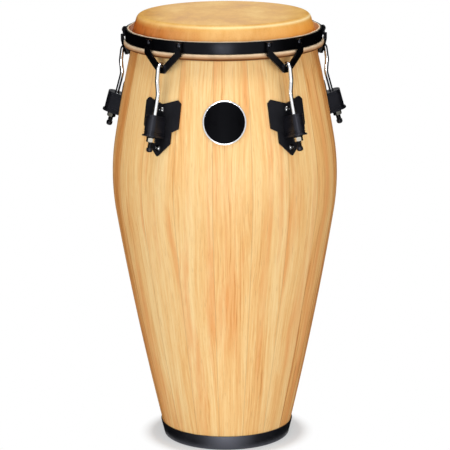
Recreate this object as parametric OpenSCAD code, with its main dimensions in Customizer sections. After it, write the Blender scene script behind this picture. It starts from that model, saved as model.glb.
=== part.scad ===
// Staved conga drum standing on its foot, tuned by hooks that pull a rim down over the skin.
// Millimetres, +Z up, axis of the drum on Z, floor at Z = 0, front of the drum facing -Y.

/* [Shell] */
// Height from the floor to the playing surface
drum_h = 711; // [670:1:760]
// Outside diameter of the staves at the floor
foot_d = 205; // [190:1:225]
// Outside diameter at the belly
belly_d = 369; // [350:1:390]
// Height of the belly above the floor
belly_h = 446; // [420:1:465]
// Radius of the outline around the belly
belly_arc = 386; // [330:1:450]
// Radius of the long curve from the belly down to the foot
lower_arc = 5480; // [3500:10:9000]
// Radius of the long curve from the belly up to the top
upper_arc = 2600; // [1900:10:5000]
// Outside diameter of the staves at their top
top_d = 276.6; // [266:0.2:286]
// Thickness of the staves
stave_t = 12; // [9:0.5:15]
// Number of staves
stave_count = 18; // [12:1:24]
// Angle from the front to the first seam on the right
seam_angle = 13.8; // [0:0.1:20]
// Width of the glue line between two staves
glue_line = 0.15; // [0.05:0.01:0.3]
// Round-over of the bearing edge that the skin lies on
edge_round = 8; // [5:0.5:9]

/* [Foot collar] */
// Height of the steel collar round the foot
collar_h = 25; // [18:0.5:36]
// Thickness of the collar
collar_t = 1.8; // [1.2:0.1:2.6]
// Width of the lip turned in under the staves
collar_lip = 10; // [6:0.5:11]
// Bend radius of the collar's lower edge
collar_bend = 3; // [2.7:0.1:5]

/* [Head] */
// Thickness of the skin
skin_t = 1.8; // [1.2:0.1:2.2]
// Diameter of the steel ring that the skin is rolled round
flesh_ring_d = 6.2; // [5.4:0.1:7]
// Drop from the playing surface to the middle of that ring
hoop_drop = 47.3; // [40:0.1:54]
// Distance of the ring's middle from the staves
hoop_stand = 8.8; // [8.2:0.1:10.5]
// Bend radius of the cut edge where it turns up inside the rim
tail_bend = 2.3; // [2.2:0.1:2.8]
// Height by which the skin's cut edge stands above the rim
tail_proud = 0.8; // [0.3:0.1:2]

/* [Rim] */
// Thickness of the rim band
rim_t = 3; // [2:0.1:4]
// Height of the rim band
rim_h = 18.5; // [15:0.5:22]
// Distance by which the rim reaches inwards past the middle of the flesh ring
rim_inset = 0.5; // [0:0.1:0.8]
// Thickness of the tabs that carry a bracket on the rim
tab_t = 5; // [4:0.1:6.5]
// Width of a tab
tab_w = 12; // [10:0.5:14]
// Height of a tab
tab_h = 15; // [12:0.5:16]
// Thickness of a bracket's bar
bracket_t = 4; // [3:0.1:4.5]
// Width of a bracket's bar
bracket_w = 10; // [8:0.5:12]
// Angle of a bracket's arms from the vertical
bracket_angle = 45; // [40:1:50]
// Drop from the rim's lower edge to the crotch of a bracket
crotch_drop = 25; // [22:0.5:30]
// Depth of a bracket's blunt point below its crotch
point_depth = 8; // [6:0.5:10]
// Height of a bracket's arms above the rim's lower edge
arm_rise = 5.5; // [3:0.5:8]
// Half of a bracket's width
bracket_reach = 35; // [32:0.5:42]
// Height of a tab's lower edge above the rim's lower edge
tab_rise = 2; // [0.5:0.1:3]
// Diameter of a rivet
rivet_d = 5; // [4:0.1:6]
// Height of the rivets above the rim's lower edge
rivet_rise = 12.5; // [9:0.5:13]
// Diameter of a rivet's head
rivet_head_d = 8.5; // [7:0.1:9.5]
// Height of a rivet's head
rivet_head_h = 2; // [1.2:0.1:3]

/* [Tension hooks] */
// Angles of the hooks from the front, to the right
lug_angles = [-108, -36, 36, 108, 180];
// Diameter of a hook's rod
hook_d = 7; // [6:0.1:7.6]
// Diameter of the threaded end
thread_d = 8; // [7.8:0.1:8.6]
// Length of the threaded end inside the lug
thread_inside = 16; // [10:0.5:20]
// Radius of the hook's bend over its bracket
hook_bend = 8; // [7.6:0.1:8.6]
// Length of the hook's point behind the bracket
hook_point = 7; // [4:0.5:9]
// Radius of the two bends in the shank
shank_bend = 20; // [12:1:24]
// Drop from the playing surface to the upper bend of the shank
upper_bend_drop = 86; // [82:0.5:90]
// Drop from the playing surface to the lower bend of the shank
lower_bend_drop = 107; // [102:0.5:112]
// Distance by which the shank bows outwards at its upper bend
shank_bow = 1.8; // [0:0.1:3]
// Lean of the threaded end, outwards at the bottom
rod_tilt = 16; // [12:0.5:18]
// Travel of the rim from tuned to slack
tuning_travel = 8; // [4:0.5:9]
// Length of the threaded end that a rubber cap covers
cap_depth = 5; // [3:0.5:8]
// Thickness of a cap's wall
cap_wall = 1; // [0.8:0.1:1.6]
// Thickness of a cap's closed end
cap_end = 1.7; // [1.5:0.1:3]
// Rounding of a cap's closed end
cap_round = 3.5; // [1:0.1:3.5]
// Room left between nut and cap when the rim is slack
cap_room = 0.6; // [0.4:0.1:2]

/* [Side plates and lugs] */
// Thickness of a side plate
plate_t = 2.5; // [1.5:0.1:3.5]
// Drop from the playing surface to a side plate's upper corners
plate_drop = 116; // [110:0.5:122]
// Height of a side plate
plate_h = 91; // [84:0.5:98]
// Width of a side plate across its wings
plate_w = 68; // [60:0.5:78]
// Drop of a side plate's outer corners below its upper corners
wing_drop = 5.5; // [4:0.5:9]
// Distance of the upper corners in from the wings' sides
wing_inset = 6; // [4:0.5:9]
// Rounding of a side plate's corners
plate_round = 2.5; // [1:0.1:3]
// Width of a side plate's tail
tail_w = 44; // [43:0.5:50]
// Depth of the notch in the upper edge
notch_depth = 8.5; // [4:0.5:10]
// Distance from the upper corners down to the wings' lower corners
wing_h = 45; // [40:0.5:48]
// Distance from the upper corners down to the step below the wings
step_h = 51; // [49:0.5:56]
// Distance from the upper corners down to the tail's shoulders
shoulder_h = 69; // [66:0.5:74]
// Width of a lug block
block_w = 20.5; // [19.5:0.5:30]
// Height of a lug block along its rod
block_h = 34; // [30:0.5:36]
// Distance from the rod to the lug block's outer face
block_front = 14.5; // [11:0.5:16]
// Rounding of the lug block's outer corners
block_round = 9.5; // [5:0.5:9.5]
// Distance from the side plate to the rod at the lug block's foot
rod_stand = 19; // [17:0.5:24]
// Drop from the playing surface to the lug block's foot
block_drop = 172.5; // [168:0.5:176]
// Width of the flange round the lug block's foot
flange_w = 2.2; // [1.5:0.1:4]
// Height of that flange
flange_h = 2.6; // [1.5:0.1:4]
// Depth of the grooves round the lug block
groove_depth = 0.8; // [0.4:0.1:1.2]
// Height of a groove
groove_h = 1.4; // [0.8:0.1:1.8]
// Distance from one groove to the next
groove_pitch = 3; // [2.4:0.1:3.6]

/* [Fasteners] */
// Width of a tension nut across its flats
nut_flats = 13; // [13:0.5:15]
// Height of a tension nut
nut_h = 6.5; // [5:0.1:8]
// Diameter of the washer under a tension nut
washer_d = 16; // [15:0.5:19]
// Thickness of that washer
washer_t = 1.6; // [1:0.1:2.2]
// Diameter of the bolts through the shell
bolt_d = 6; // [5:0.5:7]
// Diameter of a bolt's head
bolt_head_d = 10.5; // [9.5:0.5:12]
// Height of a bolt's domed head
bolt_head_h = 3; // [2.2:0.1:4]
// Drop from a side plate's upper corners to its upper bolt
upper_bolt_drop = 17.8; // [16:0.1:20]
// Drop from a side plate's upper corners to its lower bolt
lower_bolt_drop = 77.5; // [76:0.1:80]
// Width of a bolt's nut across its flats
bolt_nut_flats = 10; // [9.5:0.5:12]
// Height of a bolt's nut
bolt_nut_h = 5; // [3.5:0.1:6.5]
// Thickness of the backing plate inside the shell
backing_t = 2; // [1.2:0.1:3]
// Width of the backing plate
backing_w = 30; // [20:0.5:40]
// Length of the backing plate past each bolt
backing_end = 13.5; // [9:0.5:18]
// Rounding of the backing plate's corners
backing_round = 4; // [2:0.5:6]
// Width across the flats of the socket in a bolt's head
socket_flats = 4; // [3:0.5:5]
// Depth of that socket
socket_depth = 2; // [1:0.1:2.2]
// Length of a bolt past its nut
bolt_tail = 2; // [0.5:0.5:4]

/* [Badge] */
// Diameter of the badge
badge_d = 69; // [56:0.5:76]
// Drop from the playing surface to the badge's middle
badge_drop = 148; // [140:0.5:156]
// Thickness of the badge plate
badge_t = 1.2; // [0.8:0.1:2]
// Width of the badge's bezel
bezel_w = 2.2; // [1.5:0.1:4]
// Height by which the bezel stands above the badge plate
bezel_proud = 0.7; // [0.3:0.1:1.2]

/* [Hidden] */
$fn = 96;

// Clearances
fit_gap = 0.3;
seat_gap = 0.2;
ring_gap = 0.1;
bore_gap = 0.4;
thread_gap = 0.05;
bolt_gap = 0.2;
// Overhang of cutting shapes and overlap of welded pieces
over = 1;
weld = 0.6;
// Distance between two points along the shell's outline and steps in a rounded corner
outline_step = 12;
corner_steps = 6;
arc_step = 12;
bar_sides = 16;

// Colours
wood = "BurlyWood";
black_steel = "#1c1c20";
bright_steel = "Gainsboro";
plain_steel = "DarkGray";
hide = "NavajoWhite";

// Lists and vectors
function unit(v) = v / norm(v);
function reversed(list) = [for (i = [len(list) - 1:-1:0]) list[i]];
function steps(from, to, pitch) =
    let (n = max(1, ceil(abs(to - from) / pitch)))
    [for (i = [0:n]) from + (to - from) * i / n];
function arc(centre, radius, from, to, pitch = arc_step) =
    [for (a = steps(from, to, pitch)) centre + radius * [cos(a), sin(a)]];

// Outline with its corners rounded
function corner(before, at, after, radius) =
    let (
        u = unit(before - at),
        v = unit(after - at),
        half = acos(u * v) / 2,
        centre = at + unit(u + v) * radius / sin(half),
        first = at + u * radius / tan(half) - centre,
        from = atan2(first.y, first.x),
        turn = sign(cross(v, u)) * (180 - 2 * half)
    )
    arc(centre, radius, from, from + turn, abs(turn) / corner_steps);
function rounded(points, radius) =
    let (n = len(points))
    [for (i = [0:n - 1]) each corner(points[(i + n - 1) % n], points[i], points[(i + 1) % n], radius)];

// Shell outline: a belly arc that runs tangent into a long arc below and one above
shell_top = drum_h - skin_t - fit_gap;
shell_bottom = collar_t + fit_gap;
belly_r = belly_d / 2;
arc_x = belly_r - belly_arc;

function leave_angle(way, r, z, far) =
    let (
        to_end = [r - arc_x, way * (z - belly_h)],
        spare = far - belly_arc,
        near = (far ^ 2 - spare ^ 2 - to_end * to_end) / (2 * spare)
    )
    atan2(to_end.y, to_end.x) - acos(near / norm(to_end));
function far_centre(way, angle, far) =
    [arc_x - (far - belly_arc) * cos(angle), belly_h - way * (far - belly_arc) * sin(angle)];

lower_angle = leave_angle(-1, foot_d / 2, 0, lower_arc);
upper_angle = leave_angle(1, top_d / 2, shell_top, upper_arc);
lower_centre = far_centre(-1, lower_angle, lower_arc);
upper_centre = far_centre(1, upper_angle, upper_arc);
lower_join = belly_h - belly_arc * sin(lower_angle);
upper_join = belly_h + belly_arc * sin(upper_angle);

// Centre and radius of the arc that holds a height, as [x, z, radius]
function arc_at(z) =
    z < lower_join ? [lower_centre.x, lower_centre.y, lower_arc]
    : z > upper_join ? [upper_centre.x, upper_centre.y, upper_arc]
    : [arc_x, belly_h, belly_arc];
function shell_r(z) = let (a = arc_at(z)) a.x + sqrt(a.z ^ 2 - (z - a.y) ^ 2);
function shell_lean(z) = let (a = arc_at(z)) asin((z - a.y) / a.z);
function shell_line(from, to, out) = [for (z = steps(from, to, outline_step)) [shell_r(z) + out, z]];

// Head: bearing edge, flesh ring and the skin that runs from one to the other
edge_centre = [shell_r(shell_top - edge_round) - edge_round, shell_top - edge_round];
edge_skin_r = edge_round + fit_gap + skin_t;
hoop_h = drum_h - hoop_drop;
hoop_r = shell_r(hoop_h) + hoop_stand;
hoop_centre = [hoop_r, hoop_h];
ring_seat_r = flesh_ring_d / 2 + ring_gap;
roll_r = ring_seat_r + skin_t;
edge_to_hoop = hoop_centre - edge_centre;
collar_lean = atan2(edge_to_hoop.y, edge_to_hoop.x)
    + acos((edge_skin_r + ring_seat_r) / norm(edge_to_hoop));

// Rim, resting on the rolled edge of the skin
rim_bottom = hoop_h + roll_r + fit_gap;
rim_top = rim_bottom + rim_h;
rim_in = hoop_r - rim_inset;
rim_r = rim_in + rim_t;
tail_r = hoop_r - tail_bend;
tail_top = rim_top + tail_proud;

// Brackets, riveted to the rim, with the hooks hanging in their crotches
tab_bottom = rim_bottom + tab_rise;
bracket_in = rim_r + tab_t;
bracket_mid = bracket_in + bracket_t / 2;
crotch_h = rim_bottom - crotch_drop;
bracket_point = crotch_h - bracket_w / sin(bracket_angle);
bracket_tip = crotch_h - point_depth;
bracket_top = rim_bottom + arm_rise;
tab_y = bracket_reach - tab_w / 2;
rivet_h = rim_bottom + rivet_rise;
rivet_angle = asin(tab_y / rim_r);

// Rod axis through the lug block, from its foot
block_z = drum_h - block_drop;
rod_r = shell_r(block_z) + seat_gap + plate_t + rod_stand;
function on_rod(along) = [rod_r - along * sin(rod_tilt), block_z + along * cos(rod_tilt)];

// Drops below the lug block's foot: the washer, the nut, and the rod's end with its cap
washer_foot = fit_gap + washer_t;
nut_foot = washer_foot + seat_gap + nut_h;
cap_top = nut_foot + tuning_travel / cos(rod_tilt) + cap_room;
thread_below = cap_top + cap_depth;

// Hook path, in the plane through the drum's axis
hook_shift = tuning_travel * tan(rod_tilt) / 2;
hook_drop_off = hook_bend - sqrt(hook_bend ^ 2 - (bracket_t / 2 + hook_shift) ^ 2);
hook_top = crotch_h + (hook_d / 2 + fit_gap) / sin(bracket_angle) + hook_drop_off;
hook_centre = [bracket_mid + hook_shift, hook_top - hook_bend];
lower_bend = on_rod((drum_h - lower_bend_drop - block_z) / cos(rod_tilt));
upper_bend = [lower_bend.x + shank_bow, drum_h - upper_bend_drop];
to_bend = upper_bend - hook_centre;
hook_leave = atan2(to_bend.y, to_bend.x) + acos(hook_bend / norm(to_bend));
hook_exit = hook_centre + hook_bend * [cos(hook_leave), sin(hook_leave)];

// Side plate heights
plate_top = drum_h - plate_drop;
plate_tip = plate_top - plate_h;
bolt_heights = [plate_top - upper_bolt_drop, plate_top - lower_bolt_drop];
plate_face = seat_gap + plate_t;
bolt_seat = plate_face + bolt_gap;
backing_face = stave_t + seat_gap;
nut_seat = backing_face + backing_t + seat_gap;

// Turn a piece drawn in the plane of +X to an angle from the front
module at_angle(angle) {
    rotate([0, 0, angle - 90]) children();
}

// Frame whose Z runs up the rod and whose X points outwards, at the foot of the lug block
module on_lug() {
    translate([rod_r, 0, block_z]) rotate([0, -rod_tilt, 0]) children();
}

// Frame whose Z leaves the shell square to its outside
module on_shell(z) {
    translate([shell_r(z), 0, z]) rotate([0, 90 - shell_lean(z), 0]) children();
}

// Flat outline, drawn as seen from outside, pushed out along +X
module outwards(reach) {
    rotate([90, 0, 90]) linear_extrude(reach) children();
}

// Layer that follows the shell between two heights
module jacket(from, to, inner, outer) {
    rotate_extrude()
        polygon(concat(shell_line(from, to, inner), reversed(shell_line(from, to, outer))));
}

module tube(from, to, inner, outer) {
    translate([0, 0, from]) difference() {
        cylinder(h = to - from, r = outer);
        translate([0, 0, -over]) cylinder(h = to - from + 2 * over, r = inner);
    }
}

// Round bar along a path of points in the XZ plane
module bent_bar(path, d) {
    last = len(path) - 1;
    function way(i) = unit(path[i + 1] - path[i]);
    function along(i) = i == 0 ? way(0) : i == last ? way(last - 1) : unit(way(i - 1) + way(i));
    function at(i, k) = i * bar_sides + k % bar_sides;
    ring = [for (k = [0:bar_sides - 1]) d / 2 * [cos(360 * k / bar_sides), sin(360 * k / bar_sides)]];
    points = [
        for (i = [0:last], c = ring)
        [path[i].x - c.x * along(i).y, c.y, path[i].y + c.x * along(i).x]
    ];
    sides = [
        for (i = [0:last - 1], k = [0:bar_sides - 1])
        each [[at(i, k), at(i, k + 1), at(i + 1, k)], [at(i, k + 1), at(i + 1, k + 1), at(i + 1, k)]]
    ];
    ends = [[for (k = [0:bar_sides - 1]) bar_sides - 1 - k], [for (k = [0:bar_sides - 1]) at(last, k)]];
    polyhedron(points, concat(sides, ends));
}

// Hexagon nut on its own Z, from 0 to its height, with its corners chamfered
module hex_nut(flats, height, bore) {
    corners = flats / cos(30);
    reach = corners - flats / 2;
    bevel = (reach - flats / 2) * tan(30);
    difference() {
        intersection() {
            cylinder(h = height, d = corners, $fn = 6);
            rotate_extrude() polygon([
                [0, 0], [flats / 2, 0], [reach, bevel],
                [reach, height - bevel], [flats / 2, height], [0, height]
            ]);
        }
        translate([0, 0, -over]) cylinder(h = height + 2 * over, d = bore);
    }
}

// Domed head on its own Z, standing on 0
module domed_head(d, height) {
    dome_r = ((d / 2) ^ 2 + height ^ 2) / (2 * height);
    intersection() {
        translate([0, 0, height - dome_r]) sphere(dome_r);
        cylinder(h = height, d = d);
    }
}

// Shell
stave_angle = 360 / stave_count;
glue_angle = atan(glue_line / belly_r);

module stave_section() {
    edge = arc(edge_centre, edge_round, shell_lean(edge_centre.y), 90);
    polygon(concat(
        shell_line(shell_bottom, edge_centre.y, 0),
        edge,
        reversed(shell_line(shell_bottom, shell_top, -stave_t))
    ));
}

module bolt_holes(angle) {
    at_angle(angle) for (z = bolt_heights) on_shell(z)
        translate([0, 0, -2 * stave_t]) cylinder(h = 3 * stave_t, d = bolt_d + 2 * bolt_gap);
}

module shell_staves() {
    color(wood) for (i = [0:stave_count - 1]) {
        start = seam_angle + i * stave_angle;
        difference() {
            at_angle(start + glue_angle / 2)
                rotate_extrude(angle = stave_angle - glue_angle) stave_section();
            for (angle = lug_angles) {
                from_start = (angle - start + 720) % 360;
                if (from_start < stave_angle) bolt_holes(angle);
            }
        }
    }
}

module foot_collar() {
    outside = shell_r(collar_bend) + seat_gap + collar_t;
    bend_in = collar_bend - collar_t;
    color(black_steel) rotate_extrude() polygon(concat(
        [[foot_d / 2 - collar_lip, 0]],
        arc([outside - collar_bend, collar_bend], collar_bend, -90, 0),
        [[shell_r(collar_h) + seat_gap + collar_t, collar_h]],
        [[shell_r(collar_h) + seat_gap, collar_h]],
        arc([outside - collar_bend, collar_bend], bend_in, 0, -90),
        [[foot_d / 2 - collar_lip, collar_t]]
    ));
}

// Badge
module badge_plate() {
    z = drum_h - badge_drop;
    color(black_steel) at_angle(0) intersection() {
        jacket(z - badge_d, z + badge_d / 2 + over, seat_gap, seat_gap + badge_t);
        outwards(belly_d) translate([0, z]) circle(d = badge_d - 2 * bezel_w - 2 * ring_gap);
    }
}

module badge_bezel() {
    z = drum_h - badge_drop;
    color(bright_steel) at_angle(0) intersection() {
        jacket(z - badge_d, z + badge_d / 2 + over, seat_gap, seat_gap + badge_t + bezel_proud);
        outwards(belly_d) translate([0, z]) difference() {
            circle(d = badge_d);
            circle(d = badge_d - 2 * bezel_w);
        }
    }
}

// Side plates and what fastens them
module shield() {
    wing = plate_w / 2;
    tail = tail_w / 2;
    right = [
        [wing, plate_top - wing_h],
        [wing, plate_top - wing_drop],
        [wing - wing_inset, plate_top]
    ];
    shape = concat(
        [[0, plate_tip], [tail, plate_top - shoulder_h], [tail, plate_top - step_h]],
        right,
        [[0, plate_top - notch_depth]],
        [for (p = reversed(right)) [-p.x, p.y]],
        [[-tail, plate_top - step_h], [-tail, plate_top - shoulder_h]]
    );
    polygon(rounded(shape, plate_round));
}

module side_plate(i) {
    color(black_steel) difference() {
        at_angle(lug_angles[i]) intersection() {
            jacket(plate_tip - over, plate_top + over, seat_gap, plate_face);
            outwards(belly_d) shield();
        }
        bolt_holes(lug_angles[i]);
    }
}

module backing_plate(i) {
    half = backing_w / 2;
    low = bolt_heights[1] - backing_end;
    high = bolt_heights[0] + backing_end;
    shape = [[-half, low], [half, low], [half, high], [-half, high]];
    color(plain_steel) difference() {
        at_angle(lug_angles[i]) intersection() {
            jacket(low - over, high + over, -backing_face - backing_t, -backing_face);
            outwards(belly_d) polygon(rounded(shape, backing_round));
        }
        bolt_holes(lug_angles[i]);
    }
}

module plate_bolts() {
    inner_end = nut_seat + bolt_nut_h + bolt_tail;
    color(black_steel) for (angle = lug_angles, z = bolt_heights) at_angle(angle) on_shell(z) {
        difference() {
            translate([0, 0, bolt_seat]) domed_head(bolt_head_d, bolt_head_h);
            translate([0, 0, bolt_seat + bolt_head_h - socket_depth])
                cylinder(h = bolt_head_h, d = socket_flats / cos(30), $fn = 6);
        }
        translate([0, 0, -inner_end]) cylinder(h = inner_end + bolt_seat + weld, d = bolt_d);
    }
}

module plate_nuts() {
    color(plain_steel) for (angle = lug_angles, z = bolt_heights) at_angle(angle) on_shell(z)
        translate([0, 0, -nut_seat - bolt_nut_h])
            hex_nut(bolt_nut_flats, bolt_nut_h, bolt_d + 2 * thread_gap);
}

// Half-round outline of a lug block seen along its rod, with X outwards
module block_outline(grow) {
    w = block_w + 2 * grow;
    front = block_front + grow;
    back = rod_stand + plate_face + block_h;
    r = block_round + grow;
    translate([-back, -w / 2]) square([back + front - r, w]);
    translate([-back, r - w / 2]) square([back + front, w - 2 * r]);
    for (side = [-1, 1]) translate([front - r, side * (w / 2 - r)]) circle(r);
}

module lug_block(i) {
    first = flange_h + groove_pitch / 2;
    grooves = [first, first + groove_pitch, block_h - groove_pitch, block_h - 2 * groove_pitch];
    color(black_steel) difference() {
        at_angle(lug_angles[i]) on_lug() difference() {
            union() {
                linear_extrude(block_h) block_outline(0);
                linear_extrude(flange_h) block_outline(flange_w);
            }
            for (z = grooves) translate([0, 0, z]) linear_extrude(groove_h) difference() {
                block_outline(flange_w);
                block_outline(-groove_depth);
            }
            translate([0, 0, -over]) cylinder(h = block_h + 2 * over, d = thread_d + 2 * bore_gap);
        }
        rotate_extrude() polygon(concat(
            [[0, plate_tip - over]],
            shell_line(plate_tip - over, plate_top + over, plate_face),
            [[0, plate_top + over]]
        ));
    }
}

// Rim, brackets and rivets
module rim_band() {
    color(black_steel) difference() {
        tube(rim_bottom, rim_top, rim_in, rim_r);
        for (angle = lug_angles) rivet_holes(angle);
    }
}

module at_rivets(angle) {
    for (side = [-1, 1]) at_angle(angle + side * rivet_angle)
        translate([rim_in, 0, rivet_h]) rotate([0, 90, 0]) children();
}

module rivet_holes(angle) {
    at_rivets(angle) translate([0, 0, -over])
        cylinder(h = rim_t + tab_t + 2 * over, d = rivet_d + 2 * ring_gap);
}

module bracket_outline() {
    spread = tan(bracket_angle);
    tip = (bracket_tip - bracket_point) * spread;
    shoulder = bracket_point + bracket_reach / spread;
    inner = (bracket_top - crotch_h) * spread;
    right = [
        [tip, bracket_tip],
        [bracket_reach, shoulder],
        [bracket_reach, bracket_top],
        [inner, bracket_top]
    ];
    polygon(concat(right, [[0, crotch_h]], [for (p = reversed(right)) [-p.x, p.y]]));
}

module bracket(i) {
    color(black_steel) difference() {
        at_angle(lug_angles[i]) {
            intersection() {
                tube(bracket_tip - over, bracket_top + over, bracket_in, bracket_in + bracket_t);
                outwards(belly_d) bracket_outline();
            }
            intersection() {
                tube(tab_bottom - over, tab_bottom + tab_h + over, rim_r + ring_gap, bracket_in + weld);
                outwards(belly_d) for (side = [-1, 1])
                    translate([side * tab_y - tab_w / 2, tab_bottom]) square([tab_w, tab_h]);
            }
        }
        rivet_holes(lug_angles[i]);
    }
}

module bracket_rivets() {
    length = rim_t + tab_t + weld + ring_gap;
    color(black_steel) for (angle = lug_angles) at_rivets(angle) {
        cylinder(h = length + weld, d = rivet_d);
        translate([0, 0, length]) domed_head(rivet_head_d, rivet_head_h);
    }
}

// Skin rolled round its ring
module flesh_ring() {
    color(plain_steel) rotate_extrude() translate(hoop_centre) circle(d = flesh_ring_d);
}

module head_skin() {
    roll_from = 180 + collar_lean;
    roll_to = 450;
    tail_centre = [hoop_r, hoop_h + ring_seat_r + skin_t / 2 + tail_bend];
    // One side of the skin's section, from its middle to its cut edge
    function skin_side(depth) = concat(
        [[0, drum_h - depth]],
        arc(edge_centre, edge_skin_r - depth, 90, collar_lean),
        arc(hoop_centre, ring_seat_r + depth, roll_from, roll_to),
        arc(tail_centre, tail_bend + skin_t / 2 - depth, 270, 180),
        [[tail_r - skin_t / 2 + depth, tail_top]]
    );
    color(hide) rotate_extrude() polygon(concat(skin_side(0), reversed(skin_side(skin_t))));
}

// Hooks, nuts, washers and caps
module tension_hook(i) {
    path = concat(
        [hook_centre - [hook_bend, hook_point]],
        arc(hook_centre, hook_bend, 180, hook_leave),
        corner(hook_exit, upper_bend, lower_bend, shank_bend),
        corner(upper_bend, lower_bend, on_rod(0), shank_bend),
        [on_rod(0)]
    );
    color(bright_steel) at_angle(lug_angles[i]) {
        bent_bar(path, hook_d);
        on_lug() {
            chamfer = thread_d / 8;
            translate([0, 0, chamfer - thread_below])
                cylinder(h = thread_below + thread_inside - chamfer, d = thread_d);
            translate([0, 0, -thread_below])
                cylinder(h = chamfer, d1 = thread_d - 2 * chamfer, d2 = thread_d);
        }
    }
}

module nut_washer(i) {
    color(bright_steel) at_angle(lug_angles[i]) on_lug()
        translate([0, 0, -washer_foot]) difference() {
            cylinder(h = washer_t, d = washer_d);
            translate([0, 0, -over]) cylinder(h = washer_t + 2 * over, d = thread_d + 2 * bore_gap);
        }
}

module tension_nut(i) {
    color(bright_steel) at_angle(lug_angles[i]) on_lug()
        translate([0, 0, -nut_foot])
            hex_nut(nut_flats, nut_h, thread_d + 2 * thread_gap);
}

module rod_cap(i) {
    bore_r = thread_d / 2 + thread_gap;
    outer_r = bore_r + cap_wall;
    foot = -thread_below - thread_gap - cap_end;
    color(black_steel) at_angle(lug_angles[i]) on_lug() rotate_extrude() polygon(concat(
        [[0, foot]],
        arc([outer_r - cap_round, foot + cap_round], cap_round, -90, 0),
        [[outer_r, -cap_top], [bore_r, -cap_top], [bore_r, foot + cap_end], [0, foot + cap_end]]
    ));
}

shell_staves();
foot_collar();
badge_plate();
badge_bezel();
plate_bolts();
plate_nuts();
rim_band();
bracket_rivets();
flesh_ring();
head_skin();
for (i = [0:len(lug_angles) - 1]) {
    side_plate(i);
    lug_block(i);
    backing_plate(i);
    bracket(i);
    tension_hook(i);
    tension_nut(i);
    nut_washer(i);
    rod_cap(i);
}
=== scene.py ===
"""Looks of a staved conga drum: wood, hide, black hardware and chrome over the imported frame.

Lengths of pieces are written in millimetres and turned to metres where a mesh is made.
Lengths in the materials, the stage, the lamps and the camera are in metres.
"""

import math
import random

import bpy
from mathutils import Matrix, Vector


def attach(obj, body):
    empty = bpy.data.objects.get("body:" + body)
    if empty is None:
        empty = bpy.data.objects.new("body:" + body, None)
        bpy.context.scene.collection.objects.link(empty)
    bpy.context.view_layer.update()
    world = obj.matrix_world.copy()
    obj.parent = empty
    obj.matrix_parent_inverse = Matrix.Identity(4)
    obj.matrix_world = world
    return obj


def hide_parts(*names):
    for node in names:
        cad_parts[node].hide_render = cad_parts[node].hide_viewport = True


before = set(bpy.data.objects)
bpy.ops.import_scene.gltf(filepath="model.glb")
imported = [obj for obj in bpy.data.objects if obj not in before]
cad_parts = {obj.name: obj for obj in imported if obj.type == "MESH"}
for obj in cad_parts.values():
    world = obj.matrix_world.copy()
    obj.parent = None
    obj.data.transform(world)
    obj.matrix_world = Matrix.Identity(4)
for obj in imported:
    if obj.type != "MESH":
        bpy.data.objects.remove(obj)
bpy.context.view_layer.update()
MM = 0.001

# Sizes as in the part's source: shell and foot
DRUM_H, FOOT_R, BELLY_R, BELLY_H, TOP_R = 711.0, 102.5, 184.5, 446.0, 138.3
BELLY_ARC, LOWER_ARC, UPPER_ARC = 386.0, 5480.0, 2600.0
STAVES, STAVE_T, SEAM_ANGLE = 18, 12.0, 13.8
EDGE_ROUND, FIT_GAP, SEAT_GAP = 8.0, 0.3, 0.2
COLLAR_H, COLLAR_T, COLLAR_LIP, COLLAR_BEND = 25.0, 1.8, 10.0, 3.0

# Sizes as in the part's source: head
SKIN_T, RING_SEAT_R, TAIL_BEND, TAIL_PROUD = 1.8, 3.2, 2.3, 0.8
HOOP_DROP, HOOP_STAND = 47.3, 8.8
RIM_T, RIM_H, RIM_INSET = 3.0, 18.5, 0.5
TAB_T, BRACKET_T, CROTCH_DROP, CROTCH_SLOPE = 5.0, 4.0, 25.0, math.radians(45)

# Sizes as in the part's source: lugs, hooks and their threads
LUG_ANGLES = (-108, -36, 36, 108, 180)
ROD_TILT, BLOCK_DROP, ROD_STAND, PLATE_FACE = math.radians(16), 172.5, 19.0, 2.7
HOOK_D, HOOK_BEND, HOOK_POINT = 7.0, 8.0, 7.0
SHANK_BEND, SHANK_BOW, UPPER_BEND_DROP, LOWER_BEND_DROP = 20.0, 1.8, 86.0, 107.0
THREAD_D, THREAD_PITCH, THREAD_INSIDE = 8.0, 1.25, 16.0
TRAVEL, NUT_FOOT, CAP_ROOM, CAP_DEPTH = 8.0, 8.6, 0.6, 5.0

# Heights and lengths that follow from them
SHELL_TOP, SHELL_BOTTOM = DRUM_H - SKIN_T - FIT_GAP, COLLAR_T + FIT_GAP
HOOP_Z = DRUM_H - HOOP_DROP
RIM_LOW = HOOP_Z + RING_SEAT_R + SKIN_T + FIT_GAP
BLOCK_Z = DRUM_H - BLOCK_DROP
THREAD_BELOW = NUT_FOOT + TRAVEL / math.cos(ROD_TILT) + CAP_ROOM + CAP_DEPTH

# Small forms that only the scene has
SEAM_EASE, SEAM_GAP = 0.10, 0.02  # how far a seam's edge is set back, and half the joint
RIM_ROUND = 0.9
DOME = 0.35  # height of a rod's domed end, as a share of its radius
DOME_ANGLES = (80, 55, 30, 10)
THREAD_DEPTH, RIDGE_SLOPE, RIDGE_CUT = 0.75, 2.4, 0.7
TIP_LENGTH, TIP_ROUND, THREAD_LAP = 1.4, 1.2, 1.0

# Fineness of the meshes: how many faces round, how many rings to a turn of thread, how many
# steps to a corner, the pitch along a stave, and how many degrees to a step of its edge
HEAD_SEGMENTS, FOOT_SEGMENTS = 240, 200
ROD_SIDES, THREAD_SIDES, THREAD_RINGS = 20, 24, 8
CORNER_STEPS = 4
OUTSIDE_PITCH, INSIDE_PITCH, EDGE_TURN = 9.0, 18.0, 9
ON_AXIS = 1e-6  # a smaller radius counts as none


# Shell outline

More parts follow.
